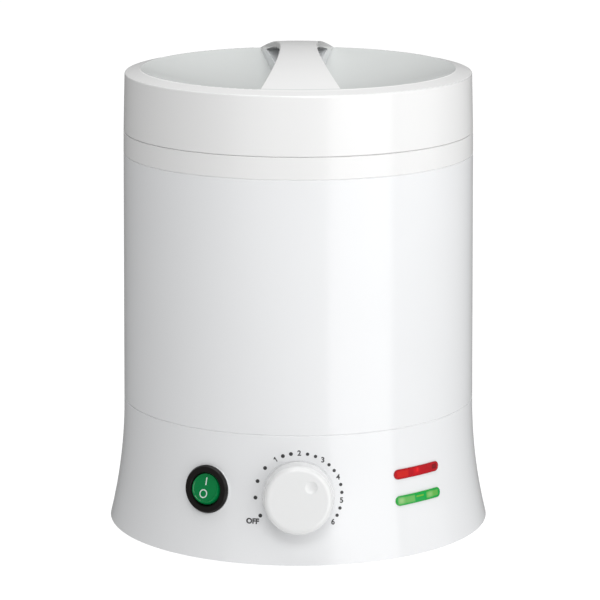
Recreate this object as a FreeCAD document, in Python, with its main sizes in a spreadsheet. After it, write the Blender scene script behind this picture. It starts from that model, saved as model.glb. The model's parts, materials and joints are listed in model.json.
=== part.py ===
"""Wax warmer pot: a one-litre electric wax heater in a white two-piece case with a lift-off lid.

Row frame: +Z up, origin on the case's axis at the plane the feet stand on, front (control side) towards -Y.
"""
import FreeCAD
import Part
import math
import os
import re
import Sketcher

V = FreeCAD.Vector

# Driving sizes, in millimetres and degrees. Heights are above the plane the feet stand on.
SIZES = {
    # case
    "base_low": 2.0, "base_top": 63.0, "base_top_r": 86.05, "base_low_r": 93.5, "flare_r": 251.0,
    "base_wall": 2.8, "body_wall": 2.6, "seam": 0.35, "spigot_gap": 0.15, "spigot_rise": 3.0,
    "body_top": 184.2, "body_top_r": 85.0, "ledge_r": 72.0, "ledge_th": 3.0,
    "collar_top": 194.8, "collar_top_r": 84.87, "collar_bore_r": 62.2, "collar_wall": 2.5,
    "lip_r": 81.9, "lip_th": 2.3, "lip_rise": 3.5,
    # lid
    "lid_gap": 0.15, "lid_wall": 2.4, "lid_top": 223.1, "lid_top_r": 84.1, "rim_r": 76.1, "rim_top": 224.9,
    "dish_r": 211.0, "dish_low": 210.65, "dish_th": 2.4,
    "arch_r": 280.3, "arch_top": 235.5, "arch_th": 3.0, "waist_w": 8.9, "waist_r": 285.0,
    "saddle_r": 300.0, "saddle_top": 219.4, "saddle_wall": 2.0, "arch_round": 0.7, "lid_turn": 0.65,
    # heating well and pot
    "well_r": 61.5, "well_wall": 1.5, "well_low": 84.5, "well_round": 6.0, "well_flange_r": 81.7,
    "pot_r": 60.0, "pot_wall": 1.2, "pot_low": 88.0, "pot_round": 6.0, "pot_rim_r": 68.0, "pot_rim_th": 1.8,
    "pot_gap": 0.3,
    # panel
    "panel_z": 34.1, "knob_r": 16.1, "knob_back_r": 16.9, "knob_front": 13.2, "knob_back": 1.6,
    "knob_edge": 2.8, "knob_wall": 2.2, "plinth_r": 17.4, "plinth_rise": 0.4, "dimple_r": 3.0,
    "dimple_at": 8.7, "dimple_turn": 44.3, "dimple_deep": 0.9, "hub_r": 5.2, "shaft_r": 3.0,
    "shaft_gap": 0.05, "bush_r": 4.8, "bush_len": 6.0, "nut_r": 7.6, "nut_th": 2.6,
    "switch_turn": -29.3, "switch_z": 34.75, "bezel_r": 11.5, "bezel_low": 0.3, "bezel_rise": 2.3, "barrel_r": 9.85,
    "well_open_r": 7.95, "rocker_r": 7.6, "rocker_face": 3.2, "rocker_tilt": 12.0, "rocker_pivot": -0.5,
    "lens_turn": 40.6, "lens_l": 28.4, "lens_w": 4.7, "lens_rise": 0.45, "red_z": 40.9, "green_z": 28.3,
    # underside and rear
    "cover_r": 89.6, "cover_low": 3.0, "cover_th": 2.2, "post_at": 83.5, "post_r": 4.5, "post_top": 22.0,
    "foot_at": 74.0, "foot_r": 7.5, "screw_r": 1.5, "inlet_y": 90.2, "inlet_w": 31.0, "inlet_tall": 25.0,
    # heater
    "band_low": 100.0, "band_tall": 44.0, "band_th": 2.4, "wrap_r": 74.0, "wrap_th": 7.8, "wrap_low": 92.0,
    "wrap_tall": 86.0, "shield_r": 82.6, "shield_th": 1.0, "wire_r": 1.3,
}

doc = FreeCAD.newDocument("wax_warmer_pot")
sheet = doc.addObject("Spreadsheet::Sheet", "dims")
for row, (alias, number) in enumerate(SIZES.items(), start=1):
    sheet.set(f"A{row}", alias)
    sheet.set(f"B{row}", str(number))
    sheet.setAlias(f"B{row}", alias)
doc.recompute()

nodes = {}


def bound(text):
    """The same formula, pointed at the sheet from outside it."""
    return re.sub(r"[a-z]\w*", lambda m: "dims." + m[0] if m[0] in SIZES else m[0], str(text))


def value(text):
    return float(sheet.evalExpression(str(text)))


def bind(thing, **formulas):
    for prop, text in formulas.items():
        thing.setExpression(prop, bound(text))
    return thing


def keep(name, thing):
    """Make an object one of the part's nodes."""
    thing.Label = name
    nodes[name] = thing
    return thing


# ---- places ------------------------------------------------------------------------------------------

def at(x=0, y=0, z=0, spin=0):
    """Placement formula: a point, turned about the vertical."""
    return f"placement(vector({x}; {y}; {z}); rotation(vector(0; 0; 1); {spin}))"


def wall_r(z):
    """Formula for the flared base's outer radius at a height."""
    return f"(base_top_r + flare_r - sqrt(flare_r ^ 2 - (base_top - {z}) ^ 2))"


def wall_tilt(z):
    return f"asin((base_top - {z}) / flare_r)"


def panel(turn, z, out=0, x=0, y=0, rock=0, lay=""):
    """Placement formula on the flared wall: local Z leaves the wall squarely, local X runs to the viewer's right.

    turn is measured from the front, towards the viewer's right; rock tips the piece about local X, and
    lay is a further rotation of its own.
    """
    tilt = wall_tilt(z)
    side = f"({x})"
    rise = f"(({out}) * sin({tilt}) + ({y}) * cos({tilt}))"
    reach = f"({wall_r(z)} + ({out}) * cos({tilt}) - ({y}) * sin({tilt}))"
    px = f"{reach} * sin({turn}) + {side} * cos({turn})"
    py = f"{side} * sin({turn}) - {reach} * cos({turn})"
    turns = f"rotation(vector(0; 0; 1); {turn}) * rotation(vector(1; 0; 0); 90 deg - {tilt} + ({rock}) * 1 deg)"
    return f"placement(vector({px}; {py}; {z} + {rise}); {turns}{lay})"


def rear(x=0, out=0, up=0):
    """Placement formula on the flat pad at the back: local Z points backwards, local X to the front's left."""
    return (f"placement(vector(-({x}); inlet_y + ({out}); panel_z + ({up}));"
            " rotation(vector(0; 0; 1); 180) * rotation(vector(1; 0; 0); 90))")


# ---- shapes ------------------------------------------------------------------------------------------

def plane(body, role):
    return [item for item in body.Origin.OriginFeatures if item.Role == role][0]


def outline(body, name, role, points, arcs=None):
    """A closed, fully dimensioned sketch.

    points are pairs of formulas; arcs maps an edge's number to (radius formula, +1 to bend round a
    centre on the left of the edge's direction or -1 on the right).
    """
    arcs = arcs or {}
    sketch = body.newObject("Sketcher::SketchObject", name)
    sketch.AttachmentSupport = [(plane(body, role), "")]
    sketch.MapMode = "FlatFace"
    corners = [V(value(x), value(y), 0) for x, y in points]
    starts = []
    for number, start in enumerate(corners):
        end = corners[(number + 1) % len(corners)]
        if number not in arcs:
            sketch.addGeometry(Part.LineSegment(start, end))
            starts.append(1)
            continue
        radius, side = arcs[number]
        radius = value(radius)
        across = (end - start).normalize()
        left = V(-across.y, across.x, 0)
        half = (end - start).Length / 2
        centre = (start + end) * 0.5 + left * side * math.sqrt(max(radius ** 2 - half ** 2, 0))
        first, last = (start, end) if side > 0 else (end, start)
        angles = [math.atan2(p.y - centre.y, p.x - centre.x) for p in (first, last)]
        if angles[1] < angles[0]:
            angles[1] += 2 * math.pi
        sketch.addGeometry(Part.ArcOfCircle(Part.Circle(centre, V(0, 0, 1), radius), *angles))
        starts.append(1 if side > 0 else 2)
    for number in range(len(corners)):
        after = (number + 1) % len(corners)
        sketch.addConstraint(
            Sketcher.Constraint("Coincident", number, 3 - starts[number], after, starts[after]))
    for number, (pair, corner) in enumerate(zip(points, corners)):
        for kind, text, size, axis in (("DistanceX", pair[0], corner.x, -2), ("DistanceY", pair[1], corner.y, -1)):
            if abs(size) < 1e-9:
                sketch.addConstraint(Sketcher.Constraint("PointOnObject", number, starts[number], axis))
                continue
            made = sketch.addConstraint(Sketcher.Constraint(kind, -1, 1, number, starts[number], size))
            sketch.setExpression(f"Constraints[{made}]", bound(text))
    for number, (radius, side) in arcs.items():
        made = sketch.addConstraint(Sketcher.Constraint("Radius", number, value(radius)))
        sketch.setExpression(f"Constraints[{made}]", bound(radius))
    return sketch


def turned(name, points, arcs=None, place=None):
    """A body of revolution about its own Z, from pairs of (radius, height) formulas."""
    body = doc.addObject("PartDesign::Body", name)
    sketch = outline(body, name + "_section", "XZ_Plane", points, arcs)
    feature = body.newObject("PartDesign::Revolution", name + "_turn")
    feature.Profile = sketch
    feature.ReferenceAxis = (sketch, ["V_Axis"])
    feature.Angle = 360
    if place:
        bind(body, Placement=place)
    return body


def padded(name, role, points, length, arcs=None, place=None, both=False):
    """A body padded from one of its origin planes."""
    body = doc.addObject("PartDesign::Body", name)
    sketch = outline(body, name + "_outline", role, points, arcs)
    feature = body.newObject("PartDesign::Pad", name + "_pad")
    feature.Profile = sketch
    bind(feature, Length=length)
    if both:
        feature.SideType = "Symmetric"
    if place:
        bind(body, Placement=place)
    return body


def rod(name, radius, height, place):
    return bind(doc.addObject("Part::Cylinder", name), Radius=radius, Height=height, Placement=place)


def box(name, length, width, height, place):
    return bind(doc.addObject("Part::Box", name), Length=length, Width=width, Height=height, Placement=place)


def fuse(name, pieces):
    thing = doc.addObject("Part::MultiFuse", name)
    thing.Shapes = pieces
    return thing


def cut(name, base, tool):
    thing = doc.addObject("Part::Cut", name)
    thing.Base = base
    thing.Tool = tool
    return thing


def common(name, pieces):
    thing = doc.addObject("Part::MultiCommon", name)
    thing.Shapes = pieces
    return thing


def round_place(radius, angle, z):
    """Placement formula at an angle round the case's axis, counted from +X."""
    return at(f"({radius}) * cos({angle})", f"({radius}) * sin({angle})", z)


def screws(name, places, shank, head_r=2.8, head_th=1.8):
    """Pan-head screws, each given by the places where its head and its shank start along local Z."""
    pieces = []
    for number, (head_place, shank_place) in enumerate(places):
        pieces.append(rod(f"{name}_head{number}", head_r, head_th, head_place))
        pieces.append(rod(f"{name}_shank{number}", "screw_r", shank, shank_place))
    return keep(name, fuse(name, pieces))


# ---- base: flared ring, bosses and panel openings ------------------------------------------------------

SPIGOT_OUT = "(base_top_r - body_wall - spigot_gap)"
SPIGOT_IN = "(base_top_r - body_wall - spigot_gap - 2.3)"
INNER_FLARE = "(flare_r + base_wall)"


def inner_r(z):
    return f"(base_top_r + flare_r - sqrt({INNER_FLARE} ^ 2 - (base_top - {z}) ^ 2))"


base_ring = turned("base_ring", [
    (inner_r("base_low"), "base_low"),
    ("base_low_r", "base_low"),
    ("base_top_r", "base_top - seam"),
    ("base_top_r - seam", "base_top"),
    (SPIGOT_OUT, "base_top"),
    (SPIGOT_OUT, "base_top + spigot_rise"),
    (SPIGOT_IN, "base_top + spigot_rise"),
    (SPIGOT_IN, "base_top - 3.5"),
    (inner_r("(base_top - 5.5)"), "base_top - 5.5"),
], {1: ("flare_r", -1), 8: (INNER_FLARE, 1)})
swell = turned("base_swell", [
    ("0", "base_low + 2"),
    (f"{wall_r('(base_low + 2)')} + plinth_rise", "base_low + 2"),
    (f"{wall_r('(base_top - 2)')} + plinth_rise", "base_top - 2"),
    ("0", "base_top - 2"),
], {1: ("flare_r - plinth_rise", -1)})
plinth = common("dial_plinth", [rod("plinth_disc", "plinth_r", 6, panel(0, "panel_z", -2)), swell])
POST_ANGLES = (20, 160, 200, 340)
FOOT_ANGLES = (45, 135, 225, 315)


posts = [rod(f"post{a}", "post_r", "post_top - cover_low - cover_th",
             round_place("post_at", a, "cover_low + cover_th")) for a in POST_ANGLES]
switch_seat = rod("switch_seat", "bezel_r + 0.1", "bezel_low + 2.5", panel("switch_turn", "switch_z", -2.5))
dial_boss = rod("dial_boss", 9, 4, panel(0, "panel_z", -6))
LAMP_POSTS = (-18.5, 18.5)
lamp_posts = [rod(f"lamp_post{s}", 2.8, 7.7, panel("lens_turn", "panel_z", -11.2, x=s)) for s in LAMP_POSTS]
rear_pad = box("rear_pad", "inlet_w + 3", "inlet_tall + 3", 7,
               "placement(vector((inlet_w + 3) / 2; inlet_y - 7; panel_z - (inlet_tall + 3) / 2);"
               " rotation(vector(0; 0; 1); 180) * rotation(vector(1; 0; 0); 90))")
base_solid = fuse("base_solid", [base_ring, plinth, switch_seat, dial_boss, rear_pad, *posts, *lamp_posts])


def slot(name, turn, z):
    """A round-ended prism that crosses the wall squarely."""
    reach = "(lens_l - lens_w) / 2"
    pieces = [box(f"{name}_mid", "lens_l - lens_w", "lens_w", 9, panel(turn, z, -5, f"-{reach}", "-lens_w / 2"))]
    for sign in ("-", ""):
        pieces.append(rod(f"{name}_end{len(pieces)}", "lens_w / 2", 9, panel(turn, z, -5, f"{sign}{reach}")))
    return fuse(name, pieces)


slots = {colour: slot(f"{colour}_slot", "lens_turn", f"{colour}_z") for colour in ("red", "green")}
base_holes = fuse("base_holes", [
    *slots.values(),
    rod("switch_hole", "barrel_r + 0.1", 12, panel("switch_turn", "switch_z", -8)),
    rod("dial_hole", "bush_r + 0.1", 14, panel(0, "panel_z", -8)),
    box("inlet_hole", "inlet_w - 3.8", "inlet_tall - 4.8", 14,
        rear("-(inlet_w - 3.8) / 2", -12, "-(inlet_tall - 4.8) / 2")),
    *[rod(f"post_hole{a}", "screw_r + 0.05", 12, round_place("post_at", a, "cover_low")) for a in POST_ANGLES],
    *[rod(f"lamp_hole{s}", "screw_r + 0.05", 6, panel("lens_turn", "panel_z", -12, x=s)) for s in LAMP_POSTS],
])
keep("base_housing", cut("base_housing", base_solid, base_holes))

# Lenses: clear mouldings that fill the slots and follow the wall's curve.
lens_skin = turned("lens_skin", [
    (f"{wall_r('15')} - 4", "15"),
    (f"{wall_r('15')} + lens_rise", "15"),
    (f"{wall_r('55')} + lens_rise", "55"),
    (f"{wall_r('55')} - 4", "55"),
], {1: ("flare_r - lens_rise", -1), 3: ("flare_r + 4", 1)})
for colour in ("red", "green"):
    again = slot(f"{colour}_lens_prism", "lens_turn", f"{colour}_z")
    keep(f"{colour}_lens", common(f"{colour}_lens", [again, lens_skin]))

# Lamps behind the lenses, on a board held by two posts.
keep("lamp_board", cut("lamp_board", box("board_sheet", 44, 22, 1.6, panel("lens_turn", "panel_z", -12.8, -22, -11)),
                       fuse("board_holes", [rod(f"board_hole{s}", "screw_r + 0.05", 4,
                                                panel("lens_turn", "panel_z", -14, x=s)) for s in LAMP_POSTS])))
screws("board_screws", [(panel("lens_turn", "panel_z", -14.6, x=s), panel("lens_turn", "panel_z", -12.8, x=s))
                        for s in LAMP_POSTS], 6)
lamps = []
for colour, lift in (("red", 6.4), ("green", -6.4)):
    lamps.append(rod(f"{colour}_lamp", 2.2, 16,
                     panel("lens_turn", "panel_z", -9.0, -8, lift, lay=" * rotation(vector(0; 1; 0); 90)")))
keep("indicator_lamps", fuse("indicator_lamps", lamps))

# ---- knob, thermostat ------------------------------------------------------------------------------------

knob_turned = turned("knob_turned", [
    ("shaft_r", "bush_len + 0.5"),
    ("hub_r", "bush_len + 0.5"),
    ("hub_r", "knob_front - 3"),
    ("knob_r - knob_wall", "knob_front - 3"),
    ("knob_back_r - knob_wall", "knob_back"),
    ("knob_back_r", "knob_back"),
    ("knob_r + 0.15", "knob_front - knob_edge"),
    ("knob_r - knob_edge", "knob_front"),
    ("0", "knob_front"),
    ("0", "knob_front - 2.2"),
    ("shaft_r", "knob_front - 2.2"),
], {6: ("knob_edge * 1.03", 1)}, panel(0, "panel_z"))
dimple_ball = bind(
    doc.addObject("Part::Sphere", "dimple_ball"),
    Radius="(dimple_r ^ 2 + dimple_deep ^ 2) / (2 * dimple_deep)",
    Placement=panel(0, "panel_z", "knob_front - dimple_deep + (dimple_r ^ 2 + dimple_deep ^ 2) / (2 * dimple_deep)",
                    "dimple_at * sin(dimple_turn)", "dimple_at * cos(dimple_turn)"))
keep("dial_knob", cut("dial_knob", knob_turned, dimple_ball))
keep("thermostat_shaft", rod("thermostat_shaft", "shaft_r", "knob_front - 2.2 + 5.2", panel(0, "panel_z", -5.2)))
stat_case = fuse("stat_case", [
    box("stat_block", 32, 32, 18, panel(0, "panel_z", -24, -16, -16)),
    rod("stat_bush", "bush_r", "bush_len + 6", panel(0, "panel_z", -6)),
])
keep("thermostat_body", cut("thermostat_body", stat_case,
                            rod("stat_bore", "shaft_r + shaft_gap", 20, panel(0, "panel_z", -5.5))))
stat_nut = bind(doc.addObject("Part::Prism", "stat_nut"), Circumradius="nut_r", Height="nut_th",
                Placement=panel(0, "panel_z", "plinth_rise + 0.4"))
stat_nut.Polygon = 6
keep("thermostat_nut", cut("thermostat_nut", stat_nut, rod("nut_bore", "bush_r", 8, panel(0, "panel_z", -1))))
keep("thermostat_terminals", fuse("thermostat_terminals", [
    box(f"stat_tab{n}", 0.8, 6.3, 9, panel(0, "panel_z", -33, x, y)) for n, (x, y) in enumerate([(-9, -3), (8, -3)])]))

# ---- rocker switch ---------------------------------------------------------------------------------------

keep("switch_housing", turned("switch_housing", [
    ("0", "-24"),
    ("barrel_r", "-24"),
    ("barrel_r", "bezel_low"),
    ("bezel_r", "bezel_low"),
    ("bezel_r", "bezel_rise - 1.1"),
    ("bezel_r - 0.7", "bezel_rise"),
    ("well_open_r + 0.5", "bezel_rise"),
    ("well_open_r", "bezel_rise - 0.6"),
    ("well_open_r", "-9"),
    ("0", "-9"),
], None, panel("switch_turn", "switch_z")))
keep("switch_rocker", turned("switch_rocker", [
    ("0", "-4.5"),
    ("5.5", "-4.5"),
    ("sqrt(rocker_r ^ 2 - 9)", "-3"),
    ("sqrt(rocker_r ^ 2 - rocker_face ^ 2)", "rocker_face"),
    ("sqrt(rocker_r ^ 2 - rocker_face ^ 2) - 0.5", "rocker_face"),
    ("sqrt(rocker_r ^ 2 - rocker_face ^ 2) - 0.75", "rocker_face - 0.25"),
    ("0", "rocker_face - 0.25"),
], {2: ("rocker_r", 1)}, panel("switch_turn", "switch_z", "rocker_pivot", rock="-rocker_tilt")))
keep("switch_terminals", fuse("switch_terminals", [
    box(f"switch_tab{n}", 6.3, 0.8, 9, panel("switch_turn", "switch_z", -33, -3.15, y))
    for n, y in enumerate((-5.4, -0.4, 4.6))]))

# ---- body, collar, well and pot ------------------------------------------------------------------------------

BODY_SCREW_ANGLES = (30, 150, 270)
SCREW_RING = 76.5


def screw_holes(name, z, depth):
    return fuse(name, [rod(f"{name}{a}", "screw_r + 0.05", depth, round_place(SCREW_RING, a, z))
                       for a in BODY_SCREW_ANGLES])


body_turned = turned("body_turned", [
    ("base_top_r - body_wall", "base_top"),
    ("base_top_r - seam", "base_top"),
    ("base_top_r", "base_top + seam"),
    ("body_top_r", "body_top - seam"),
    ("body_top_r - seam", "body_top"),
    ("ledge_r", "body_top"),
    ("ledge_r", "body_top - ledge_th"),
    ("body_top_r - body_wall - 3", "body_top - ledge_th"),
    ("body_top_r - body_wall", "body_top - ledge_th - 3"),
])
keep("body_shell", cut("body_shell", body_turned, screw_holes("body_holes", "body_top - 5", 8)))
collar_turned = turned("collar_turned", [
    ("body_top_r - collar_wall", "body_top"),
    ("body_top_r - seam", "body_top"),
    ("body_top_r", "body_top + seam"),
    ("collar_top_r", "collar_top - seam"),
    ("collar_top_r - seam", "collar_top"),
    ("lip_r", "collar_top"),
    ("lip_r", "collar_top + lip_rise"),
    ("lip_r - lip_th", "collar_top + lip_rise"),
    ("lip_r - lip_th", "collar_top"),
    ("collar_bore_r + 1", "collar_top"),
    ("collar_bore_r", "collar_top - 1"),
    ("collar_bore_r", "body_top + well_wall"),
    ("collar_bore_r + collar_wall", "body_top + well_wall"),
    ("collar_bore_r + collar_wall", "collar_top - collar_wall"),
    ("body_top_r - collar_wall", "collar_top - collar_wall"),
])
collar_bosses = [rod(f"collar_boss{a}", 4, "collar_top - collar_wall / 2 - body_top - well_wall",
                     round_place(SCREW_RING, a, "body_top + well_wall")) for a in BODY_SCREW_ANGLES]
collar_solid = fuse("collar_solid", [collar_turned, *collar_bosses])
keep("collar_ring", cut("collar_ring", collar_solid, screw_holes("collar_holes", "body_top", 7.3)))
screws("collar_screws", [(round_place(SCREW_RING, a, "body_top - ledge_th - 1.8"),
                          round_place(SCREW_RING, a, "body_top - ledge_th")) for a in BODY_SCREW_ANGLES], 10)
well_turned = turned("well_turned", [
    ("0", "well_low"),
    ("well_r + well_wall - well_round", "well_low"),
    ("well_r + well_wall", "well_low + well_round"),
    ("well_r + well_wall", "body_top"),
    ("well_flange_r", "body_top"),
    ("well_flange_r", "body_top + well_wall"),
    ("well_r", "body_top + well_wall"),
    ("well_r", "well_low + well_round"),
    ("well_r + well_wall - well_round", "well_low + well_wall"),
    ("0", "well_low + well_wall"),
], {1: ("well_round", 1), 7: ("well_round - well_wall", -1)})
keep("heating_well", cut("heating_well", well_turned, screw_holes("well_holes", "body_top - 1", 4)))
RIM = "(collar_top + pot_gap)"
keep("wax_pot", turned("wax_pot", [
    ("0", "pot_low"),
    ("pot_r - pot_round", "pot_low"),
    ("pot_r", "pot_low + pot_round"),
    ("pot_r", RIM),
    ("pot_rim_r - 1", RIM),
    ("pot_rim_r - 1", f"{RIM} + pot_rim_th"),
    ("pot_r - pot_wall + 1.5", f"{RIM} + pot_rim_th"),
    ("pot_r - pot_wall", f"{RIM} + pot_rim_th - 1.5"),
    ("pot_r - pot_wall", "pot_low + pot_round"),
    ("pot_r - pot_round", "pot_low + pot_wall"),
    ("0", "pot_low + pot_wall"),
], {1: ("pot_round", 1), 4: ("pot_rim_th / 2 + 0.05", 1), 6: ("1.5", 1), 8: ("pot_round - pot_wall", -1)}))

# ---- lid: skirt, sloping rim and shallow dish in one moulding with its arched grip ------------------------------


def dish_z(radius, depth=0):
    """Formula for the height of the dish's face at a radius; depth picks a face that far beneath."""
    return f"(dish_low + dish_r - sqrt((dish_r + {depth}) ^ 2 - ({radius}) ^ 2))"


def arch_z(reach, under=0):
    return f"(arch_top - arch_r + sqrt((arch_r - {under}) ^ 2 - ({reach}) ^ 2))"


SKIRT = "(collar_top + lid_gap)"
lid_turned = turned("lid_turned", [
    ("collar_top_r - lid_wall", SKIRT),
    ("collar_top_r - seam", SKIRT),
    ("collar_top_r", f"{SKIRT} + seam"),
    ("lid_top_r", "lid_top - 0.7"),
    ("lid_top_r - 0.75", "lid_top + 0.15"),
    ("rim_r + 0.8", "rim_top - 0.24"),
    ("rim_r - 0.35", dish_z("rim_r - 0.35")),
    ("0", "dish_low"),
    ("0", "dish_low - dish_th"),
    ("rim_r - 0.8", dish_z("rim_r - 0.8", "dish_th")),
    ("lid_top_r - lid_wall - 0.6", "lid_top - lid_wall + 0.3"),
], {3: ("0.8", 1), 5: ("0.9", 1), 6: ("dish_r", -1), 8: ("dish_r + dish_th", 1)})
END = "(rim_r + 2.8)"
UNDER = arch_z("rim_r - 0.5", "arch_th")
arch_strip = padded("arch_strip", "YZ_Plane", [
    (END, "arch_top + 1"),
    (f"-{END}", "arch_top + 1"),
    (f"-{END}", UNDER),
    ("-(rim_r - 0.5)", UNDER),
    ("rim_r - 0.5", UNDER),
    (END, UNDER),
], 60, {3: ("arch_r - arch_th", -1)}, both=True)
grip_dome = turned("grip_dome", [
    ("0", "dish_low - 15"),
    ("rim_r + 8", "dish_low - 15"),
    ("rim_r + 8", arch_z("rim_r + 8")),
    ("0", "arch_top"),
], {2: ("arch_r", 1)})


def waisted(name, inset=0):
    """A prism with the grip's plan: narrow at the middle, spreading towards the rim."""
    wide = f"(waist_w + waist_r - sqrt((waist_r + {inset}) ^ 2 - 6400))"
    return padded(name, "XY_Plane", [
        (wide, "80"),
        (f"-{wide}", "80"),
        (f"-{wide}", "-80"),
        (wide, "-80"),
    ], 60, {1: (f"waist_r + {inset}", -1), 3: (f"waist_r + {inset}", -1)}, at(z="dish_low - 20"))


grip_blank = common("grip_blank", [arch_strip, grip_dome, waisted("grip_plan")])
doc.recompute()
long_edges = [number for number, edge in enumerate(grip_blank.Shape.Edges, start=1)
              if edge.BoundBox.YLength > 150 and edge.BoundBox.ZMax > SIZES["arch_top"] - 0.5]
lid_grip = doc.addObject("Part::Fillet", "lid_grip")
lid_grip.Base = grip_blank
lid_grip.Edges = [(number, value("arch_round"), value("arch_round")) for number in long_edges]
keep("lid_cover", bind(fuse("lid_cover", [lid_turned, lid_grip]), Placement=at(spin="lid_turn")))


def ridge(name, end, inset):
    """The saddle's block: waisted in plan, its top dipping gently towards the middle."""
    top = f"(saddle_top - {inset} + saddle_r - sqrt(saddle_r ^ 2 - ({end}) ^ 2))"
    strip = padded(name + "_strip", "YZ_Plane", [
        (end, "dish_low - 6"),
        (end, top),
        (f"-({end})", top),
        (f"-({end})", "dish_low - 6"),
    ], 60, {1: ("saddle_r", -1)}, both=True)
    return common(name, [strip, waisted(name + "_plan", inset)])


under_dish = turned("under_dish", [
    ("0", "dish_low - 12"),
    ("rim_r + 1", "dish_low - 12"),
    ("rim_r + 1", dish_z("rim_r + 1")),
    ("0", "dish_low"),
], {2: ("dish_r", -1)})
saddle_tools = fuse("saddle_tools", [ridge("saddle_inner", "rim_r - 19", "saddle_wall"), under_dish, arch_strip])
lid_saddle = cut("lid_saddle", ridge("saddle_outer", "rim_r - 5", "0"), saddle_tools)
keep("lid_saddle", bind(lid_saddle, Placement=at(spin="lid_turn")))

# ---- heater, its guards and its wiring ------------------------------------------------------------------------------

WELL_OUT = "(well_r + well_wall)"
BAND_OUT = "(well_r + well_wall + band_th)"
BAND_SCREW_Z = ("band_low + 10", "band_low + band_tall - 10")
band_blank = cut("band_blank", rod("band_outer", BAND_OUT, "band_tall", at(z="band_low")),
                 fuse("band_tools", [rod("band_inner", WELL_OUT, "band_tall + 2", at(z="band_low - 1")),
                                     box("band_split", 20, 8, "band_tall + 2", at(55, -4, "band_low - 1"))]))
ears = [box(f"band_ear{n}", 9.2, 1.5, "band_tall", at(f"{BAND_OUT} - 1.2", y, "band_low"))
        for n, y in enumerate((-5.5, 4))]


def crosswise(x, y, z):
    """Placement formula with local Z along +Y."""
    return f"placement(vector({x}; {y}; {z}); rotation(vector(1; 0; 0); -90))"


ear_holes = [rod(f"ear_hole{n}", "screw_r + 0.05", 16, crosswise(70, -8, z)) for n, z in enumerate(BAND_SCREW_Z)]
keep("heater_band", cut("heater_band", fuse("band_with_ears", [band_blank, *ears]), fuse("ear_holes", ear_holes)))
screws("band_screws", [(crosswise(70, -7.3, z), crosswise(70, -5.5, z)) for z in BAND_SCREW_Z], 14.5, 2.6)
band_nuts = []
for number, z in enumerate(BAND_SCREW_Z):
    nut = bind(doc.addObject("Part::Prism", f"band_nut{number}"), Circumradius="3.1", Height="2.2",
               Placement=crosswise(70, 5.5, z))
    nut.Polygon = 6
    band_nuts.append(nut)
nut_bores = [rod(f"band_nut_bore{n}", "screw_r", 4, crosswise(70, 5, z)) for n, z in enumerate(BAND_SCREW_Z)]
keep("band_nuts", cut("band_nuts", fuse("band_nut_blanks", band_nuts), fuse("band_nut_bores", nut_bores)))
keep("insulation_wrap", cut("insulation_wrap", rod("wrap_outer", "wrap_r + wrap_th", "wrap_tall", at(z="wrap_low")),
                            rod("wrap_inner", "wrap_r", "wrap_tall + 2", at(z="wrap_low - 1"))))
SHIELD_Z = "base_top + spigot_rise"
FEED_ANGLES = (-60, 60)
FEED_RING = 66
keep("heat_shield", cut("heat_shield", rod("shield_disc", "shield_r", "shield_th", at(z=SHIELD_Z)),
                        fuse("shield_holes", [rod(f"shield_hole{a}", 6, 4, round_place(FEED_RING, a, f"{SHIELD_Z} - 1"))
                                              for a in FEED_ANGLES])))
CUTOUT_Y = 20
CUTOUT_LOW = "(well_low - 8)"
keep("thermal_cutout", fuse("thermal_cutout", [
    rod("cutout_case", 8, 8, at(0, CUTOUT_Y, CUTOUT_LOW)),
    box("cutout_tabs", 30, 0.8, 5, at(-15, f"{CUTOUT_Y} - 5", f"{CUTOUT_LOW} + 1.5")),
]))
CUTOUT_SCREWS = (-14, 14)
keep("cutout_bracket", cut(
    "cutout_bracket", box("bracket_strip", 36, 8, 1, at(-18, f"{CUTOUT_Y} - 1", f"{CUTOUT_LOW} - 1")),
    fuse("bracket_holes", [rod(f"bracket_hole{x}", "screw_r + 0.05", 4, at(x, CUTOUT_Y + 3, f"{CUTOUT_LOW} - 2"))
                           for x in CUTOUT_SCREWS])))
screws("cutout_screws", [(at(x, CUTOUT_Y + 3, f"{CUTOUT_LOW} - 2.8"), at(x, CUTOUT_Y + 3, f"{CUTOUT_LOW} - 1"))
                         for x in CUTOUT_SCREWS], 9)
keep("earth_stud", rod("earth_stud", 2, 7, at(-20, -10, "well_low - 7")))
BULB_ANGLE = -60
keep("sensing_bulb", rod("sensing_bulb", 3, 30, round_place(f"{WELL_OUT} + 3", BULB_ANGLE, "band_low + band_tall + 4")))

# ---- underside and mains inlet --------------------------------------------------------------------------------------

vents = [box(f"vent{row}{side}", 26, 3, 6, at(side, f"{row} * 8 - 1.5", "cover_low - 1"))
         for row in range(-2, 3) for side in (-30, 4)]
cover_holes = [rod(f"cover_hole{a}", "screw_r + 0.05", 6, round_place("post_at", a, "cover_low - 1"))
               for a in POST_ANGLES]
keep("bottom_cover", cut("bottom_cover", rod("cover_disc", "cover_r", "cover_th", at(z="cover_low")),
                         fuse("cover_tools", [*vents, *cover_holes])))
screws("cover_screws", [(round_place("post_at", a, "cover_low - 1.8"), round_place("post_at", a, "cover_low"))
                        for a in POST_ANGLES], 11)
keep("rubber_feet", fuse("rubber_feet", [
    bind(doc.addObject("Part::Cone", f"foot{a}"), Radius1="foot_r - 0.8", Radius2="foot_r", Height="cover_low",
         Placement=round_place("foot_at", a, 0)) for a in FOOT_ANGLES]))

PINS = ((-7, -0.6), (7, -0.6), (0, 3.4))


def pin_boxes(name):
    return [box(f"{name}{n}", 2, 4, 34, rear(x - 1, -34, y - 2)) for n, (x, y) in enumerate(PINS)]


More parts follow.
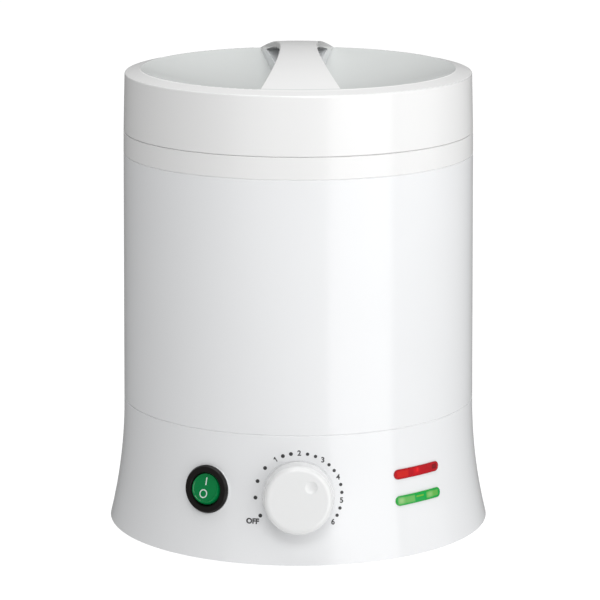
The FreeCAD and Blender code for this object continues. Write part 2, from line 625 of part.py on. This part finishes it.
keep("inlet_pins", fuse("inlet_pins", pin_boxes("inlet_pin")))
keep("inlet_socket", cut(
    "inlet_socket",
    fuse("inlet_blank", [box("inlet_flange", "inlet_w", "inlet_tall", 3, rear("-inlet_w / 2", 0, "-inlet_tall / 2")),
                         box("inlet_body", "inlet_w - 4", "inlet_tall - 5", 26,
                             rear("-(inlet_w - 4) / 2", -26, "-(inlet_tall - 5) / 2"))]),
    fuse("inlet_tools", [box("inlet_cavity", "inlet_w - 6.6", "inlet_tall - 9.2", 20,
                             rear("-(inlet_w - 6.6) / 2", -13.5, "-(inlet_tall - 9.2) / 2")),
                         *pin_boxes("inlet_slot")])))
BLOCK = (22, 24)
keep("terminal_block", cut("terminal_block", box("block", 30, 14, 12, at(BLOCK[0], BLOCK[1], "cover_low + cover_th")),
                           fuse("block_holes", [rod(f"block_hole{n}", 2.2, 9, at(BLOCK[0] + 5 + 10 * n, BLOCK[1] + 7,
                                                                                 "cover_low + cover_th + 4"))
                                                for n in range(3)])))
doc.recompute()


def spot(place):
    """The point a placement formula stands for."""
    marker = bind(doc.addObject("Part::Vertex", "marker"), Placement=place)
    marker.recompute()
    point = V(marker.Placement.Base)
    doc.removeObject(marker.Name)
    return point


def wire(name, runs, radius=None):
    """Round leads through lists of points, as one node."""
    radius = value("wire_r") if radius is None else radius
    solids = []
    for points in runs:
        curve = Part.BSplineCurve()
        curve.interpolate([V(*point) for point in points])
        start = curve.value(curve.FirstParameter)
        along = curve.tangent(curve.FirstParameter)[0]
        section = Part.Wire(Part.Circle(start, along, radius).toShape())
        solids.append(Part.Wire(curve.toShape()).makePipeShell([section], True, True))
    thing = doc.addObject("Part::Feature", name)
    thing.Shape = solids[0] if len(solids) == 1 else Part.makeCompound(solids)
    thing.Placement = FreeCAD.Placement()
    return keep(name, thing)


SWITCH_END = {y: spot(panel("switch_turn", "switch_z", -33, 0, y + 0.4)) for y in (-5.4, -0.4, 4.6)}
STAT_END = {x: spot(panel(0, "panel_z", -33, x + 0.4, 0.15)) for x in (-9, 8)}
BOARD_END = {x: spot(panel("lens_turn", "panel_z", -12.8, x, 0)) for x in (-10, -5)}
BLOCK_Y = BLOCK[1] + 7
BLOCK_FLOOR = value("cover_low + cover_th") + 4
wire("supply_wires", [
    [(-7, 56.2, 33.5), (-7, 48, 33), (-18, 25, 22), (-20, -10, 20), (-22.5, -39, 26), SWITCH_END[-5.4]],
    [SWITCH_END[4.6], (-22, -40, 37), (-12, -42, 34), STAT_END[-9]],
])
wire("heater_wires", [
    [STAT_END[8], (8.4, -45, 31), (24, -46, 48), (33, -57.2, 66.5), (29, -42, 74), (25, 0, 75),
     (21, 15.4, 79), (15, 15.4, 80.5)],
    [(-15, 15.4, 80.5), (-24, 15, 78), (-50, 8, 77), (-67, 2, 84), (-64.7, 0, 100)],
])
wire("neutral_wires", [
    [(32.35, 56.03, 100), (34, 58.9, 84), (33.2, 57.5, 70), (33, 54, 50), (36, 40, 34),
     (BLOCK[0] + 15, BLOCK_Y, 25), (BLOCK[0] + 15, BLOCK_Y, 17), (BLOCK[0] + 15, BLOCK_Y, BLOCK_FLOOR)],
    [(7, 56.2, 33.5), (8, 48, 32), (20, 38, 34), (BLOCK[0] + 5, BLOCK_Y, 25), (BLOCK[0] + 5, BLOCK_Y, 17),
     (BLOCK[0] + 5, BLOCK_Y, BLOCK_FLOOR)],
])
wire("lamp_wires", [
    [BOARD_END[-5], (42, -42, 30), (46, 0, 28), (BLOCK[0] + 25, 24, 28), (BLOCK[0] + 25, BLOCK_Y, 20),
     (BLOCK[0] + 25, BLOCK_Y, BLOCK_FLOOR)],
    [BOARD_END[-10], (30, -36, 22), (0, -36, 18), (-19, -36, 27), SWITCH_END[-0.4]],
], 0.8)
wire("earth_wire", [[(0, 56.2, 37.5), (0, 47, 40), (18, 46, 52), (29.5, 57.2, 66.5), (8, 50, 71.5),
                     (-22, 34, 71), (-27, 8, 71), (-20, -10, 77.5)]])
wire("capillary_tube", [[spot(panel(0, "panel_z", -24, 11, 11)), spot(panel(0, "panel_z", -30, 11, 11)),
                         (22, -50, 54), (37, -57.2, 66.5), (35, -60.6, 86), (34.6, -60, 110), (34.6, -60, 136),
                         (33, -57.16, 148)]], 0.8)

# ---- write the part --------------------------------------------------------------------------------------------------

doc.recompute()
for thing in doc.Objects:
    if {"Invalid", "Error"} & set(thing.State):
        raise RuntimeError(f"{thing.Name} did not build: {thing.State}")
os.makedirs("parts", exist_ok=True)
for name, thing in nodes.items():
    if thing.Shape.isNull() or not thing.Shape.isValid():
        raise RuntimeError(f"{name} has no valid shape")
    thing.Shape.exportStep(f"parts/{name}.step")
print(f"{len(nodes)} nodes written")
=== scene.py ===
"""Looks of the wax warmer pot: materials, printed marks, studio and camera. Metres, in the row frame."""
import bpy
import bmesh
import json
import math
from mathutils import Matrix, Vector


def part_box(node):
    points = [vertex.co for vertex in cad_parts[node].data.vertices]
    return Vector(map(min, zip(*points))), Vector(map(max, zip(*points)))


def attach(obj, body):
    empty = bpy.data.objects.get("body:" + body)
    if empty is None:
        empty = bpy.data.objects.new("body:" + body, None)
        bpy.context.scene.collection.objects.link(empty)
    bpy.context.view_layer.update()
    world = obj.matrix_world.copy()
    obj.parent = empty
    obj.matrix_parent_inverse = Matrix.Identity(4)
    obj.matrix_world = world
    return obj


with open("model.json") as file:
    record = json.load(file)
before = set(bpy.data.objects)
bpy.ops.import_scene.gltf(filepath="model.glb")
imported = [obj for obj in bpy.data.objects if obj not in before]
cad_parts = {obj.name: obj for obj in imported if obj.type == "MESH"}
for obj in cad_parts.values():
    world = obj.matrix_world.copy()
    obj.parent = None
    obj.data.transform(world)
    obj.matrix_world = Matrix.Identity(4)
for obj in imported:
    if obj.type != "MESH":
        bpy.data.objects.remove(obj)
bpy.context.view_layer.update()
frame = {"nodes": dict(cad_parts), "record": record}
nodes = frame["nodes"]
MM = 0.001

# ---- sizes the looks share with the case ---------------------------------------------------------------

BASE_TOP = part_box("body_shell")[0].z
BASE_TOP_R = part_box("body_shell")[1].x
FLARE_R = 251 * MM
PANEL_Z = 34.1 * MM
SWITCH_TURN = math.radians(-29.3)
SWITCH_Z = 34.75 * MM
PIVOT_OUT = -0.5 * MM
ROCKER_TILT = math.radians(-12)
ROCKER_FACE = 2.95 * MM
LENS_TURN = math.radians(40.6)
RED_Z = 40.9 * MM
GREEN_Z = 28.3 * MM
DISH_LOW = 210.65 * MM
DISH_R = 211 * MM
BOWL_R = 76.2 * MM
LENS_STRAIGHT = 11.85 * MM
LENS_EDGE = (1.75 * MM, 2.3 * MM)


def wall_r(z):
    """Outer radius of the flared base at a height."""
    return BASE_TOP_R + FLARE_R - math.sqrt(FLARE_R ** 2 - (BASE_TOP - z) ** 2)


def wall_tilt(z):
    return math.asin((BASE_TOP - z) / FLARE_R)


def panel(turn, z):
    """Matrix of a place on the flared wall: X to the viewer's right, Z squarely out of the wall."""
    reach = wall_r(z)
    spot = Matrix.Translation((reach * math.sin(turn), -reach * math.cos(turn), z))
    return spot @ Matrix.Rotation(turn, 4, "Z") @ Matrix.Rotation(math.pi / 2 - wall_tilt(z), 4, "X")


# ---- node helpers --------------------------------------------------------------------------------------


class Look:
    """A material under construction: a Principled shader and the nodes that feed it."""

    def __init__(self, name, **sockets):
        self.mat = bpy.data.materials.new(name)
        self.mat.use_nodes = True
        self.tree = self.mat.node_tree
        self.shader = self.tree.nodes["Principled BSDF"]
        self.spot = self.node("ShaderNodeTexCoord").outputs["Object"]
        for socket, value in sockets.items():
            self.shader.inputs[socket.replace("_", " ")].default_value = value

    def node(self, kind, **props):
        made = self.tree.nodes.new(kind)
        for prop, value in props.items():
            setattr(made, prop, value)
        return made

    def link(self, source, target):
        self.tree.links.new(source, target)

    def noise(self, scale, detail=3.0, stretch=(1, 1, 1), rough=0.5):
        """Noise between 0 and 1; stretch packs it more tightly along an axis."""
        scaled = self.node("ShaderNodeMapping")
        scaled.inputs["Scale"].default_value = stretch
        self.link(self.spot, scaled.inputs["Vector"])
        made = self.node("ShaderNodeTexNoise")
        made.inputs["Scale"].default_value = scale
        made.inputs["Detail"].default_value = detail
        made.inputs["Roughness"].default_value = rough
        self.link(scaled.outputs["Vector"], made.inputs["Vector"])
        return made.outputs["Fac"]

    def ramp(self, factor, stops):
        """Colour picked by a factor from (place, colour) stops."""
        made = self.node("ShaderNodeValToRGB")
        elements = made.color_ramp.elements
        while len(elements) < len(stops):
            elements.new(0.5)
        for element, (place, colour) in zip(elements, stops):
            element.position = place
            element.color = (*colour, 1)
        self.link(factor, made.inputs["Fac"])
        return made.outputs["Color"]

    def spread(self, factor, low, high):
        """A 0 to 1 factor, moved to run from low to high."""
        made = self.node("ShaderNodeMapRange")
        made.inputs["To Min"].default_value = low
        made.inputs["To Max"].default_value = high
        self.link(factor, made.inputs["Value"])
        return made.outputs["Result"]

    def feed(self, socket, value):
        """Link an output to a socket, or set the socket to a number."""
        if isinstance(value, bpy.types.NodeSocket):
            self.link(value, socket)
        else:
            socket.default_value = value

    def calc(self, operation, *values):
        """Result of one arithmetic node, fed with outputs or numbers."""
        made = self.node("ShaderNodeMath", operation=operation)
        for socket, value in zip(made.inputs, values):
            self.feed(socket, value)
        return made.outputs["Value"]

    def along(self, direction, start=(0, 0, 0)):
        """Distance of the shaded point from a start, counted along a direction."""
        offset = self.node("ShaderNodeVectorMath", operation="SUBTRACT")
        self.link(self.spot, offset.inputs[0])
        offset.inputs[1].default_value = start
        made = self.node("ShaderNodeVectorMath", operation="DOT_PRODUCT")
        self.link(offset.outputs["Vector"], made.inputs[0])
        made.inputs[1].default_value = direction
        return made.outputs["Value"]

    def away(self, centre, flat=False):
        """Distance of the shaded point from a centre, or from the upright axis through it."""
        offset = self.node("ShaderNodeVectorMath", operation="SUBTRACT")
        self.link(self.spot, offset.inputs[0])
        offset.inputs[1].default_value = centre
        squash = self.node("ShaderNodeVectorMath", operation="MULTIPLY")
        self.link(offset.outputs["Vector"], squash.inputs[0])
        squash.inputs[1].default_value = (1, 1, 0) if flat else (1, 1, 1)
        made = self.node("ShaderNodeVectorMath", operation="LENGTH")
        self.link(squash.outputs["Vector"], made.inputs[0])
        return made.outputs["Value"]

    def rise(self, value, low, high):
        """Smooth step from 0 to 1 while the value goes from low to high."""
        made = self.node("ShaderNodeMapRange", interpolation_type="SMOOTHSTEP")
        made.inputs["From Min"].default_value = low
        made.inputs["From Max"].default_value = high
        self.link(value, made.inputs["Value"])
        return made.outputs["Result"]

    def band(self, value, low, high, soft):
        """1 between low and high, 0 outside, with soft edges."""
        start = self.rise(value, low - soft, low + soft)
        return self.calc("SUBTRACT", start, self.rise(value, high - soft, high + soft))

    def mix(self, factor, first, second):
        made = self.node("ShaderNodeMix", data_type="RGBA")
        self.link(factor, made.inputs[0])
        for socket, value in ((made.inputs[6], first), (made.inputs[7], second)):
            self.feed(socket, (*value, 1) if isinstance(value, tuple) else value)
        return made.outputs[2]

    def colour(self, source):
        self.link(source, self.shader.inputs["Base Color"])

    def rough(self, source):
        self.link(source, self.shader.inputs["Roughness"])

    def bump(self, source, height):
        made = self.node("ShaderNodeBump")
        made.inputs["Distance"].default_value = height
        self.link(source, made.inputs["Height"])
        self.link(made.outputs["Normal"], self.shader.inputs["Normal"])


def shade(colour, share):
    return tuple(channel * share for channel in colour)


def plastic(name, colour, roughness=0.16, grain=0.000004, grain_scale=900, **sockets):
    """Moulded plastic: faint colour drift, faint haze in the gloss, very fine skin. Gives look and tint."""
    look = Look(name, **sockets)
    tint = look.ramp(look.noise(14, 4), [(0.3, shade(colour, 0.985)), (0.7, colour)])
    look.colour(tint)
    look.rough(look.spread(look.noise(60, 5), roughness * 0.8, roughness * 1.25))
    look.bump(look.noise(grain_scale, 2), grain)
    return look, tint


def moulded(name, colour, *finish, **sockets):
    return plastic(name, colour, *finish, **sockets)[0].mat


def metal(name, colour, roughness, stretch=(1, 1, 1)):
    """Worked metal: fine lines along one direction, and patches where it has dulled."""
    look = Look(name, Metallic=1.0)
    lines = look.noise(400, 4, stretch)
    look.colour(look.ramp(look.noise(25, 4), [(0.3, shade(colour, 0.82)), (0.7, colour)]))
    look.rough(look.spread(lines, roughness * 0.7, roughness * 1.4))
    look.bump(lines, 0.00001)
    return look.mat


# ---- materials -----------------------------------------------------------------------------------------

# Slot: colour, then roughness, depth and scale of the grain where they differ from the gloss white's.
MOULDED = {
    "case_white": ((0.785, 0.792, 0.802),),
    "saddle_white": ((0.79, 0.805, 0.82),),
    "knob_white": ((0.765, 0.77, 0.77),),
    "cover_white": ((0.62, 0.62, 0.62), 0.5, 0.00003, 1600),
    "rocker_green": ((0.0, 0.185, 0.048), 0.14, 0.000006),
    "inlet_black": ((0.02, 0.02, 0.02), 0.45, 0.00003, 1800),
    "cutout_black": ((0.03, 0.028, 0.026), 0.5, 0.00003, 1500),
    "thermostat_case": ((0.05, 0.035, 0.025), 0.5, 0.00003, 1500),
    "block_nylon": ((0.55, 0.52, 0.45), 0.4, 0.00002, 1500),
    "foot_rubber": ((0.03, 0.03, 0.03), 0.75, 0.00006, 1400),
    "board_green": ((0.02, 0.12, 0.04), 0.35, 0.00003, 800),
    "lamp_glass": ((0.85, 0.75, 0.65), 0.08, 0.00001, 500),
    "wire_brown": ((0.12, 0.05, 0.02), 0.5, 0.00003, 1200),
    "wire_blue": ((0.02, 0.06, 0.28), 0.5, 0.00003, 1200),
    "wire_white": ((0.7, 0.7, 0.68), 0.5, 0.00003, 1200),
}
# Slot: colour, roughness, and how the worked lines are packed along X, Y and Z.
METALS = {
    "pot_alu": ((0.80, 0.80, 0.81), 0.30, (1, 1, 9)),
    "well_alu": ((0.72, 0.72, 0.73), 0.34, (1, 1, 7)),
    "band_steel": ((0.50, 0.47, 0.44), 0.42, (1, 1, 12)),
    "screw_steel": ((0.60, 0.60, 0.58), 0.32),
    "bracket_steel": ((0.66, 0.66, 0.66), 0.30, (8, 1, 1)),
    "brass": ((0.72, 0.52, 0.22), 0.28),
    "bulb_copper": ((0.70, 0.33, 0.18), 0.30),
}
looks = {name: moulded(name, *finish) for name, finish in MOULDED.items()}
looks.update((name, metal(name, *finish)) for name, finish in METALS.items())
looks["switch_black"] = moulded("switch_black", (0.010, 0.0085, 0.008), 0.34, 0.00002, 2200,
                                Specular_IOR_Level=0.22)


def lid_plastic():
    """The lid's white plastic, with painted shade in the dish inside the rim: the white is made a shade
    greyer there.
    """
    look, tint = plastic("lid_white", (0.785, 0.785, 0.783))
    # Mask of the dish inside the rim, where the painted shade goes.
    deep = look.rise(look.away((0, 0, DISH_LOW + DISH_R)), DISH_R - 0.6 * MM, DISH_R - 0.3 * MM)
    inside = look.rise(look.away((0, 0, 0), flat=True), BOWL_R + 0.4 * MM, BOWL_R - 0.2 * MM)
    above = look.rise(look.along((0, 0, 1)), DISH_LOW - 1.5 * MM, DISH_LOW - 1.0 * MM)
    dish_shade_mask = look.calc("MULTIPLY", look.calc("MULTIPLY", deep, inside), above)
    # Painted shade: a greyer white put on the dish, standing in for the shade that falls there.
    painted_dish_shade = look.ramp(look.noise(14, 4), [(0.3, (0.622, 0.642, 0.634)), (0.7, (0.630, 0.650, 0.642))])
    look.colour(look.mix(dish_shade_mask, tint, painted_dish_shade))
    return look.mat


looks["lid_white"] = lid_plastic()


def lens(name, height, hue, edge, glow, marks):
    """Clear coloured moulding: a darker rim, the shapes behind the lens painted on with their light and
    shade and a painted glint, and a faint painted glow.

    Each mark is (from, to, bottom, top, softness, strength, colour), in millimetres from the lens's centre.
    """
    look = Look(name, Roughness=0.10)
    along = look.along((math.cos(LENS_TURN), math.sin(LENS_TURN), 0))
    up = look.along((0, 0, 1), (0, 0, height))
    tint = look.ramp(look.noise(160, 3, (1, 1, 2.5)), [(0.3, shade(hue, 0.86)), (0.7, hue)])
    # The marks paint the parts behind the lens onto it, with their light and shade; the small bright mark
    # at the red lens's centre is a painted glint.
    for start, end, low, high, soft, strength, colour in marks:
        wide = look.band(along, start * MM, end * MM, soft * MM)
        tall = look.band(up, low * MM, high * MM, soft * MM)
        tint = look.mix(look.calc("MULTIPLY", look.calc("MULTIPLY", wide, tall), strength), tint, colour)
    beyond = look.calc("MAXIMUM", look.calc("SUBTRACT", look.calc("ABSOLUTE", along), LENS_STRAIGHT), 0.0)
    squares = look.calc("ADD", look.calc("MULTIPLY", beyond, beyond), look.calc("MULTIPLY", up, up))
    tint = look.mix(look.rise(look.calc("SQRT", squares), *LENS_EDGE), tint, edge)
    look.colour(tint)
    # Painted glow: the lens's colour also feeds emission, though the lens is no lamp.
    look.link(tint, look.shader.inputs["Emission Color"])
    look.shader.inputs["Emission Strength"].default_value = glow
    look.bump(look.noise(700, 2), 0.00001)
    look.shader.inputs["Coat Weight"].default_value = 0.4
    return look.mat


looks["red_clear"] = lens("red_clear", RED_Z, (0.46, 0.005, 0.012), (0.34, 0.004, 0.010), 0.06, [
    (-12.6, -6.0, -1.6, 1.5, 0.7, 0.6, (0.62, 0.022, 0.012)),
    (-2.6, 1.0, -1.2, 1.9, 1.2, 0.6, (0.70, 0.008, 0.014)),
    (-0.9, 0.3, -0.4, 1.5, 0.5, 0.6, (0.85, 0.022, 0.025)),
    (9.6, 12.6, -1.1, 1.25, 0.4, 0.8, (0.13, 0.002, 0.005)),
    (10.5, 11.7, -0.4, 0.6, 0.4, 0.6, (0.26, 0.012, 0.016)),
])
looks["green_clear"] = lens("green_clear", GREEN_Z, (0.0, 0.35, 0.055), (0.02, 0.33, 0.03), 0.05, [
    (-12.9, -3.0, -1.6, 1.45, 0.4, 0.8, (0.15, 0.44, 0.10)),
    (-12.7, -9.5, -1.4, 1.2, 1.3, 0.6, (0.40, 0.60, 0.29)),
    (4.5, 12.6, -1.35, 1.35, 0.4, 0.8, (0.14, 0.42, 0.07)),
    (5.4, 8.6, -1.1, 1.1, 1.2, 0.55, (0.34, 0.56, 0.23)),
    (-2.0, 2.6, 0.2, 0.85, 0.25, 0.8, (0.22, 0.46, 0.03)),
])


def striped(name, first, second):
    """Sleeve with two colours winding round it."""
    look = Look(name, Roughness=0.5)
    wave = look.node("ShaderNodeTexWave", wave_type="BANDS", bands_direction="DIAGONAL")
    wave.inputs["Scale"].default_value = 120
    look.link(look.spot, wave.inputs["Vector"])
    look.colour(look.ramp(wave.outputs["Fac"], [(0.45, first), (0.55, second)]))
    look.bump(look.noise(1200, 2), 0.00003)
    return look.mat


looks["wire_earth"] = striped("wire_earth", (0.04, 0.28, 0.03), (0.55, 0.5, 0.02))


def felt(name, colour):
    """Matted fibre with a soft sheen."""
    look = Look(name, Roughness=0.95)
    look.shader.inputs["Sheen Weight"].default_value = 0.4
    fibres = look.noise(700, 8, (1, 1, 2.2), 0.7)
    look.colour(look.ramp(fibres, [(0.3, shade(colour, 0.75)), (0.7, colour)]))
    look.bump(fibres, 0.0004)
    return look.mat


looks["wrap_fibre"] = felt("wrap_fibre", (0.78, 0.74, 0.62))
mark_white = moulded("mark_white", (0.62, 0.70, 0.66), 0.35, 0.00001, 1500)


def ink():
    """Dark print that gets thinner towards the right of the dial."""
    look = Look("print_ink", Roughness=0.45)
    ragged = look.spread(look.noise(900, 3), -2 * MM, 2 * MM)
    right = look.rise(look.calc("ADD", look.along((1, 0, 0)), ragged), -12 * MM, 19 * MM)
    look.colour(look.mix(right, (0.003, 0.003, 0.003), (0.115, 0.115, 0.118)))
    look.bump(look.noise(1500, 2), 0.00001)
    return look.mat


print_ink = ink()

for entry in frame["record"]["subparts"]:
    mesh = nodes[entry["node"]].data
    mesh.materials.clear()
    mesh.materials.append(looks[entry["material_slot"]])

# ---- printed dial and switch marks ---------------------------------------------------------------------

DIAL_R = 20.55 * MM
DOT_R = 0.92 * MM
FAR_DOT_R = 0.80 * MM
DIGIT_H = 2.45 * MM
INK = 0.04 * MM
LIFT = 0.01 * MM
OFF_AT = (-21.9 * MM, -12.55 * MM)
CAP_SHARE = 0.7
DISC_SIDES = 28
RING_SIDES = 40
DOTS_BEFORE = (-118.0, -93.6, -71.2, -50.4)
DIGITS_AT = (-32.0, 0.8, 33.6, 65.4, 97.3, 127.8)


def printed(name, mesh, place, body, look):
    """A mark's mesh as a piece that rides on a body."""
    mesh.materials.clear()
    mesh.materials.append(look)
    piece = bpy.data.objects.new(name, mesh)
    bpy.context.scene.collection.objects.link(piece)
    piece.matrix_world = place
    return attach(piece, body)


def flat_mesh(name, outlines):
    """Flat outlines in the XY plane, given the ink's thickness."""
    mesh = bpy.data.meshes.new(name)
    build = bmesh.new()
    for outline in outlines:
        face = build.faces.new([build.verts.new((x, y, 0)) for x, y in outline])
        top = bmesh.ops.extrude_face_region(build, geom=[face])["geom"]
        raised = [item for item in top if isinstance(item, bmesh.types.BMVert)]
        bmesh.ops.translate(build, vec=(0, 0, INK), verts=raised)
    bmesh.ops.recalc_face_normals(build, faces=build.faces)
    build.to_mesh(mesh)
    build.free()
    return mesh


def lettering(name, text, swell=0.11 * MM):
    """A printed figure as a thin solid mesh, centred on its own origin."""
    curve = bpy.data.curves.new(name, "FONT")
    curve.body = text
    curve.align_x = "CENTER"
    curve.align_y = "CENTER"
    curve.size = DIGIT_H / CAP_SHARE
    curve.offset = swell
    curve.extrude = INK / 2
    shape = bpy.data.objects.new(name + "_curve", curve)
    bpy.context.scene.collection.objects.link(shape)
    mesh = bpy.data.meshes.new_from_object(shape.evaluated_get(bpy.context.evaluated_depsgraph_get()))
    bpy.data.objects.remove(shape)
    mesh.name = name
    return mesh


def on_wall(x, y):
    """Matrix on the flared wall, right of and above the dial's centre by distances along the wall."""
    x, y = x + 0.15 * MM, y + 0.2 * MM
    z = PANEL_Z + y * math.cos(wall_tilt(PANEL_Z))
    return panel(x / wall_r(z), z) @ Matrix.Translation((0, 0, LIFT))


def on_dial(degrees):
    """Matrix on the wall at a clockwise angle round the dial."""
    turn = math.radians(degrees)
    return on_wall(DIAL_R * math.sin(turn), DIAL_R * math.cos(turn))


def spoke(radius, turn):
    return radius * math.cos(turn), radius * math.sin(turn)


def disc(radius):
    return [spoke(radius, k * math.tau / DISC_SIDES) for k in range(DISC_SIDES)]


def ring(outer, inner):
    """Ring outlines as a loop of quads."""
    turns = [(k * math.tau / RING_SIDES, (k + 1) * math.tau / RING_SIDES) for k in range(RING_SIDES)]
    return [[spoke(outer, a), spoke(outer, b), spoke(inner, b), spoke(inner, a)] for a, b in turns]


def on_case(name, mesh, place):
    printed(name, mesh, place, "case", print_ink)


def on_rocker(name, outlines, x, y):
    place = rocker_face @ Matrix.Translation((x, y, 0))
    printed(name, flat_mesh(name, outlines), place, "rocker", mark_white)


dots = list(DOTS_BEFORE)
for first, second in zip(DIGITS_AT, DIGITS_AT[1:]):
    dots += [first + (second - first) * third / 3 for third in (1, 2)]
for number, degrees in enumerate(dots):
    name = f"dial_dot_{number}"
    on_case(name, flat_mesh(name, [disc(DOT_R if degrees < 10 else FAR_DOT_R)]), on_dial(degrees))
ONE = ((-0.05, -1.25), (0.42, -1.25), (0.42, 1.25), (0.05, 1.25), (-0.75, 0.62), (-0.6, 0.2),
       (-0.05, 0.5))
on_case("dial_digit_1", flat_mesh("dial_digit_1", [[(x * MM, y * MM) for x, y in ONE]]),
        on_dial(DIGITS_AT[0]) @ Matrix.Rotation(math.radians(-DIGITS_AT[0]), 4, "Z"))
for number, degrees in enumerate(DIGITS_AT[1:], start=2):
    on_case(f"dial_digit_{number}", lettering(f"dial_digit_{number}", str(number)), on_dial(degrees))
on_case("dial_off", lettering("dial_off", "OFF", 0.14 * MM), on_wall(*OFF_AT))

rocker_face = (panel(SWITCH_TURN, SWITCH_Z) @ Matrix.Translation((0, 0, PIVOT_OUT))
               @ Matrix.Rotation(ROCKER_TILT, 4, "X") @ Matrix.Translation((0, 0, ROCKER_FACE)))
BAR_X, BAR_Y = 0.3 * MM, 1.85 * MM
on_rocker("rocker_on_mark", [[(-BAR_X, -BAR_Y), (BAR_X, -BAR_Y), (BAR_X, BAR_Y), (-BAR_X, BAR_Y)]],
          0.1 * MM, 3.3 * MM)
on_rocker("rocker_off_mark", ring(2.1 * MM, 1.55 * MM), -0.5 * MM, -2.7 * MM)

# ---- studio --------------------------------------------------------------------------------------------

world = bpy.data.worlds.new("studio")
bpy.context.scene.world = world
world.use_nodes = True
world.node_tree.nodes["Background"].inputs["Color"].default_value = (1, 1, 1, 1)
world.node_tree.nodes["Background"].inputs["Strength"].default_value = 0.18
bpy.context.scene.view_settings.view_transform = "Standard"

FLOOR_REACH = 6.0
floor_mesh = bpy.data.meshes.new("studio_floor")
corners = [(x * FLOOR_REACH, y * FLOOR_REACH, 0) for x, y in ((-1, -1), (1, -1), (1, 1), (-1, 1))]
floor_mesh.from_pydata(corners, [], [(0, 1, 2, 3)])
floor = bpy.data.objects.new("studio_floor", floor_mesh)
bpy.context.scene.collection.objects.link(floor)
floor.visible_glossy = False
floor_look = Look("studio_floor", Roughness=0.9, Specular_IOR_Level=0.0, Base_Color=(0.1, 0.1, 0.1, 1),
                  Emission_Color=(1, 1, 1, 1))
# The floor glows more on the right, looks white to the camera, and is clear from beneath.
side = floor_look.rise(floor_look.along((1, 0, 0)), -0.3, 0.3)
paper = floor_look.spread(floor_look.noise(3, 2), 0.0, 0.02)
cast = floor_look.calc("ADD", floor_look.calc("MULTIPLY_ADD", side, 0.25, 0.76), paper)
seen = floor_look.node("ShaderNodeLightPath").outputs["Is Camera Ray"]
floor_look.link(floor_look.calc("MAXIMUM", cast, floor_look.calc("ADD", seen, paper)),
                floor_look.shader.inputs["Emission Strength"])
under = floor_look.node("ShaderNodeNewGeometry").outputs["Backfacing"]
floor_look.link(floor_look.calc("SUBTRACT", 1.0, under), floor_look.shader.inputs["Alpha"])
floor_mesh.materials.append(floor_look.mat)


def softbox(name, azimuth, distance, height, width, tall, power, look_z=0.12):
    """A rectangular light round the object; azimuth 0 is in front, positive to the viewer's right."""
    data = bpy.data.lights.new(name, "AREA")
    data.shape = "RECTANGLE"
    data.size = width
    data.size_y = tall
    data.energy = power
    turn = math.radians(azimuth)
    lamp = bpy.data.objects.new(name, data)
    lamp.location = (distance * math.sin(turn), -distance * math.cos(turn), height)
    aim = Vector((0, 0, look_z)) - lamp.location
    lamp.rotation_euler = aim.to_track_quat("-Z", "Y").to_euler()
    bpy.context.scene.collection.objects.link(lamp)


# Azimuth, distance, height, panel width, panel height, watts.
softbox("key", 40, 1.2, 0.2, 0.92, 2.4, 12.8, 0.2)
softbox("left_fill", -25, 1.4, 0.5, 0.9, 1.2, 1.3)
softbox("right_fill", 85, 1.4, 0.5, 0.9, 1.2, 1.6)
softbox("back_fill", 180, 1.4, 0.7, 1.6, 1.2, 0.8)
softbox("overhead", 0, 0.01, 1.5, 1.2, 1.2, 13.6)
softbox("front_fill", 0, 1.5, 1.3, 0.8, 0.5, 8.3)

# ---- camera --------------------------------------------------------------------------------------------

CAMERA_AT = (0, -1.4662, 0.4281)
CAMERA_DIP = 12.259
LENS_MM = 182.87
camera = bpy.data.objects.new("camera", bpy.data.cameras.new("camera"))
camera.data.sensor_width = 36
camera.data.lens = LENS_MM
camera.data.shift_x = 0.0028
camera.data.clip_end = 50
camera.location = CAMERA_AT
camera.rotation_euler = (math.radians(90 - CAMERA_DIP), 0, 0)
bpy.context.scene.collection.objects.link(camera)
bpy.context.scene.camera = camera
